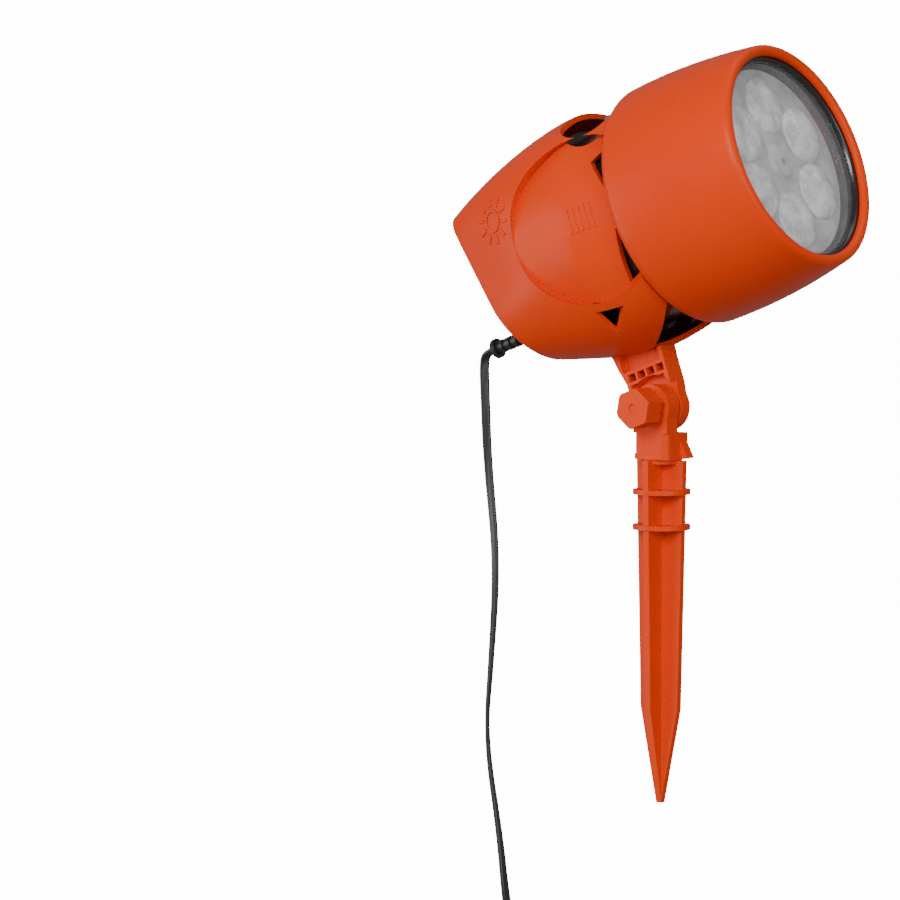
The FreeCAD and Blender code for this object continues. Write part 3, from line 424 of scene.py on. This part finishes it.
# ---------------------------------------------------------------- rear shell
# The rear half of the casing goes from round to a rounded square with a raked flat back. A round
# dish is pressed into each side, and it is open over the slide and beside the neck. The emblem on
# its side is moulded in: a plain sun of a ring and short rays.

shell = softened("rear_shell", "shell", "head", 0.6, orange, 3, 38)

SUN_BEHIND = 133
SUN_UP = 17
SUN_RING = 4.6
SUN_RING_WIDTH = 1.3
SUN_RAYS = 10
SUN_RAY_FROM = 6.6
SUN_RAY_TO = 10.4
SUN_RAY_WIDTH = 1.5
SUN_PROUD = 0.6
SUN_EDGE_ROUND = 0.15
FACE_SIDE = Matrix.Rotation(pi / 2, 4, "X")
sun_shape = bmesh.new()
ring_ends = [sun_shape.verts.new((0, 0, SUN_RING + half * SUN_RING_WIDTH / 2)) for half in (-1, 1)]
ring_edge = sun_shape.edges.new(ring_ends)
bmesh.ops.spin(sun_shape, geom=ring_ends + [ring_edge], cent=(0, 0, 0), axis=(0, 1, 0), angle=2 * pi,
               steps=48, use_merge=True)
for index in range(SUN_RAYS):
    turn = Matrix.Rotation(2 * pi * index / SUN_RAYS, 4, "Y")
    place = turn @ Matrix.Translation((0, 0, (SUN_RAY_FROM + SUN_RAY_TO) / 2)) @ FACE_SIDE
    size = Matrix.Diagonal((SUN_RAY_WIDTH, SUN_RAY_TO - SUN_RAY_FROM, 1, 1))
    bmesh.ops.create_grid(sun_shape, x_segments=1, y_segments=3, size=0.5, matrix=place @ size)
shell_surface = bmesh.new()
shell_surface.from_mesh(shell.data)
shell_tree = BVHTree.FromBMesh(shell_surface)
shell_surface.free()
for vertex in sun_shape.verts:
    start = HEAD_MM @ Vector((vertex.co.x - SUN_BEHIND, -2 * RIM_OUTER, vertex.co.z + SUN_UP))
    vertex.co = shell_tree.ray_cast(start, sideways)[0] + sideways * SUN_PROUD * MM
raised_part = bmesh.ops.extrude_face_region(sun_shape, geom=sun_shape.faces[:])
raised_verts = [part for part in raised_part["geom"] if isinstance(part, bmesh.types.BMVert)]
bmesh.ops.translate(sun_shape, verts=raised_verts, vec=-2 * sideways * SUN_PROUD * MM)
bmesh.ops.recalc_face_normals(sun_shape, faces=sun_shape.faces)
sun_shape = rounded(sun_shape, SUN_EDGE_ROUND * MM, radians(50))
piece("shell_sun", sun_shape, "head", orange)

# ---------------------------------------------------------------- barrel, slide and lamps
# The black barrel carries everything inside: the slide's guide, the small projection lenses, and the
# lamp board on its aluminium heat sink, with the supply board in the shell behind them.

for black_node in ("inner_barrel", "gate_frame", "cover_clamp", "lens_plate", "motor_bracket"):
    finish_node(black_node, black)
softened("slide_cartridge", "slide_card", "slide", 0.3, black)
slide_picture = frosted("slide_picture", (0.32, 0.33, 0.34, 1), (0.72, 0.73, 0.74, 1), 0.0022, 0.15, 0.0001)
finish_node("slide_windows", slide_picture)


def metal(name, bright, dull, roughness, brushed):
    """Bare or plated metal with a faint grain, duller where it has been handled."""
    finish = Finish(name)
    handled = finish.noise(0.008, 4, 0.6)
    grain = finish.noise(brushed, 2, 0.5)
    return finish.shade(Base_Color=finish.mixed(handled, bright, dull), Metallic=1,
                        Roughness=handled * 0.18 + roughness, Normal=finish.bump(grain, 0.00001))


zinc = metal("zinc_plate", (0.62, 0.63, 0.64, 1), (0.42, 0.43, 0.45, 1), 0.28, 0.0006)
aluminium = metal("aluminium", (0.78, 0.79, 0.80, 1), (0.58, 0.59, 0.60, 1), 0.34, 0.0004)
brass = metal("brass", (0.78, 0.55, 0.22, 1), (0.52, 0.35, 0.13, 1), 0.24, 0.0005)
for zinc_node in ("clamp_screws", "board_screws", "spin_shaft", "spin_motor"):
    finish_node(zinc_node, zinc)
finish_node("heat_sink", aluminium)
lens_glass = frosted("small_lens", (0.5, 0.52, 0.54, 1), (0.8, 0.82, 0.84, 1), 0.004, 0.05, 0.00005)
finish_node("projection_lenses", lens_glass)
finish_node("collimators", lens_glass)
lamp_yellow = moulded("lamp_phosphor", (0.86, 0.72, 0.16, 1), (0.78, 0.62, 0.12, 1), 0.4)
finish_node("leds", lamp_yellow)
board_white = moulded("lamp_board_lacquer", (0.74, 0.75, 0.73, 1), (0.66, 0.67, 0.65, 1), 0.35, coat=0.4)
finish_node("led_board", board_white)
board_green = moulded("supply_board_lacquer", (0.02, 0.14, 0.05, 1), (0.016, 0.11, 0.04, 1), 0.3, coat=0.4)
finish_node("driver_board", board_green)
finish_node("driver_parts", black)

# ---------------------------------------------------------------- neck, knob and hinge
# The neck bracket and the six-sided knob are mouldings of the same orange. A plated bolt runs through
# the neck's eye, a washer and the stake's cheek into the brass insert that the knob is moulded on.

softened("neck_bracket", "neck", "head", 0.5, orange)
softened("tension_knob", "knob", "knob", 0.9, orange, 3)
softened("knob_insert", "insert", "knob", 0.15, brass)
softened("hinge_bolt", "bolt", "head", 0.25, zinc)
finish_node("hinge_washer", zinc)

# ---------------------------------------------------------------- stake
# The stake is a cross of two tapering blades with two round collars at the ground line. Its top snaps
# over a spigot and is held by a barb, and it carries the cheek that the hinge clamps.

softened("stake_head", "stake_top", "stake", 0.6, orange, 3)
softened("ground_stake", "stake_blade", "stake", 0.4, orange)

# ---------------------------------------------------------------- lead
# A thin flat twin lead of soft black vinyl leaves a ribbed rubber relief in the back of the shell and
# hangs to a neat coil under a tie. Its far end is a moulded plug with two brass blades.

RELIEF_DOWN = 26.2
RELIEF_START = -146
RELIEF_END = -184
RELIEF_RADIUS = 3.6
RELIEF_RIBS = 7
FIRST_RIB = 5
RIB_PITCH = 4.2
RIB_TAPER = 0.09
GROOVE_DEPTH = 0.8
GROOVE_WIDTH = 1.8
GROOVE_FLANK = 0.3
COLLAR_LENGTH = 2.5
COLLAR_RADIUS = 4.6
RELIEF_THROAT = 3.0
relief_profile = [(RELIEF_START, 0), (RELIEF_START, RELIEF_RADIUS)]
for index in range(RELIEF_RIBS):
    rib_start = RELIEF_START - FIRST_RIB - index * RIB_PITCH
    rib_radius = RELIEF_RADIUS - RIB_TAPER * index
    relief_profile += [
        (rib_start, rib_radius), (rib_start - GROOVE_FLANK, rib_radius - GROOVE_DEPTH),
        (rib_start - GROOVE_WIDTH + GROOVE_FLANK, rib_radius - GROOVE_DEPTH),
        (rib_start - GROOVE_WIDTH, rib_radius)]
relief_profile += [
    (RELIEF_END + COLLAR_LENGTH, RELIEF_THROAT), (RELIEF_END + COLLAR_LENGTH, COLLAR_RADIUS - 0.2),
    (RELIEF_END + COLLAR_LENGTH - 0.5, COLLAR_RADIUS), (RELIEF_END + 0.4, COLLAR_RADIUS),
    (RELIEF_END, COLLAR_RADIUS - 0.4), (RELIEF_END, 0)]
relief_shape = spun(relief_profile, 40)
relief_shape.transform(HEAD_MM @ Matrix.Translation((0, 0, -RELIEF_DOWN)))
vinyl = moulded("black_vinyl", (0.013, 0.013, 0.014, 1), (0.020, 0.020, 0.021, 1), 0.34, 0.00001)
relief = piece("lead_relief", relief_shape, "head", vinyl)
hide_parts("strain_relief")

exit_point = HEAD_MM @ Vector((RELIEF_END, 0, -RELIEF_DOWN))
way_out = -forward
FIRST_RUN = 4.4 * MM
TURNED_DOWN = Vector((way_out.x * 0.62, 0, -0.82))
# the hanging part bows twice and then leans over to meet the coil
HANGING_ROUTE = [
    (-0.0988, 0, 0.056), (-0.0974, 0, 0.026), (-0.0918, 0, -0.020), (-0.0952, 0, -0.066),
    (-0.0986, 0, -0.101), (-0.0902, 0, -0.145), (-0.0855, -0.002, -0.170), (-0.0843, -0.0005, -0.183),
    (-0.0827, 0.0045, -0.193)]
after_exit = exit_point + way_out * FIRST_RUN
lead_route = [exit_point, after_exit, after_exit + TURNED_DOWN * FIRST_RUN]
lead_route += [Vector(spot) for spot in HANGING_ROUTE]
HANGING_POINTS = len(lead_route)
COIL_MIDDLE = Vector((-0.055, 0, -0.2019))
COIL_RADIUS = 0.0275
LEAD_WIDTH = 0.0046
COIL_START = 150
COIL_TURNED = 3030
POINTS_PER_TURN = 16
TURN_CHANGE = 0.2
# the turns in the order they are wound, as (outwards, upwards) in widths of the lead
COIL_CELLS = [(0, 1), (1, 1), (1, 0), (0, 0), (-1, 1), (-1, 0), (-1, -1), (0, -1), (1, -1)]


def coil_spot(turned):
    """The middle of the lead in the coil after it has turned so many degrees."""
    turns = turned / 360
    cell = min(int(turns), len(COIL_CELLS) - 1)
    following = min(cell + 1, len(COIL_CELLS) - 1)
    share = max(0, (turns - cell - 1 + TURN_CHANGE) / TURN_CHANGE)
    outwards, upwards = Vector(COIL_CELLS[cell]).lerp(Vector(COIL_CELLS[following]), share)
    radius = COIL_RADIUS + outwards * LEAD_WIDTH
    around = radians(COIL_START - turned)
    return COIL_MIDDLE + Vector((radius * cos(around), radius * sin(around), upwards * LEAD_WIDTH))


coil_steps = round(COIL_TURNED / 360 * POINTS_PER_TURN)
lead_route += [coil_spot(COIL_TURNED * step / coil_steps) for step in range(coil_steps)]
TAIL_START = Vector((-0.0229, 0, -0.2045))
TAIL_WAY = Vector((cos(radians(-70)), sin(radians(-70)), 0))
TAIL_LENGTH = 0.020
lead_route += [TAIL_START, TAIL_START + TAIL_WAY * TAIL_LENGTH / 2, TAIL_START + TAIL_WAY * TAIL_LENGTH]


def curve_object(name, points, cyclic=False, twist=0.0):
    """A smooth curve through the control points, whose section turns by twist along its hanging part."""
    data = bpy.data.curves.new(name, "CURVE")
    data.dimensions = "3D"
    data.resolution_u = 6
    spline = data.splines.new("NURBS")
    spline.points.add(len(points) - 1)
    for index, spot in enumerate(points):
        spline.points[index].co = (*spot, 1)
        spline.points[index].tilt = twist * min(index, HANGING_POINTS) / HANGING_POINTS
    spline.order_u = 3
    spline.use_endpoint_u = not cyclic
    spline.use_cyclic_u = cyclic
    item = bpy.data.objects.new(name, data)
    bpy.context.scene.collection.objects.link(item)
    return item


LOBE = 0.00115
LOBE_STEPS = (-120, -80, -40, 0, 40, 80, 120)
LEAD_TWIST = radians(250)
# the outline of two round lobes side by side
section = [(side * LOBE + side * LOBE * cos(radians(step)), side * LOBE * sin(radians(step)), 0)
           for side in (1, -1) for step in LOBE_STEPS]
section_curve = curve_object("lead_section", section, cyclic=True)
section_curve.data.resolution_u = 2
centre_curve = curve_object("lead_middle", lead_route)
bpy.context.view_layer.update()
centre_mesh = bpy.data.meshes.new_from_object(centre_curve)
lead_curve = curve_object("lead_skin", lead_route, twist=LEAD_TWIST)
lead_curve.data.bevel_mode = "OBJECT"
lead_curve.data.bevel_object = section_curve
lead_curve.data.use_fill_caps = True
bpy.context.view_layer.update()
depsgraph = bpy.context.evaluated_depsgraph_get()
lead_mesh = bpy.data.meshes.new_from_object(lead_curve.evaluated_get(depsgraph))
for helper in (section_curve, centre_curve, lead_curve):
    bpy.data.objects.remove(helper)
lead_shape = bmesh.new()
lead_shape.from_mesh(lead_mesh)
lead = piece("lead", lead_shape, None, vinyl, 60)
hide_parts("cord_lead", "cord_coil")

plug = softened("plug_body", "plug", "stake", 1.6, vinyl, 3)
blades = softened("plug_blades", "blades", "stake", 0.35, brass)
tie = softened("cord_tie", "tie", "stake", 0.35, black)
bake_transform(lead)
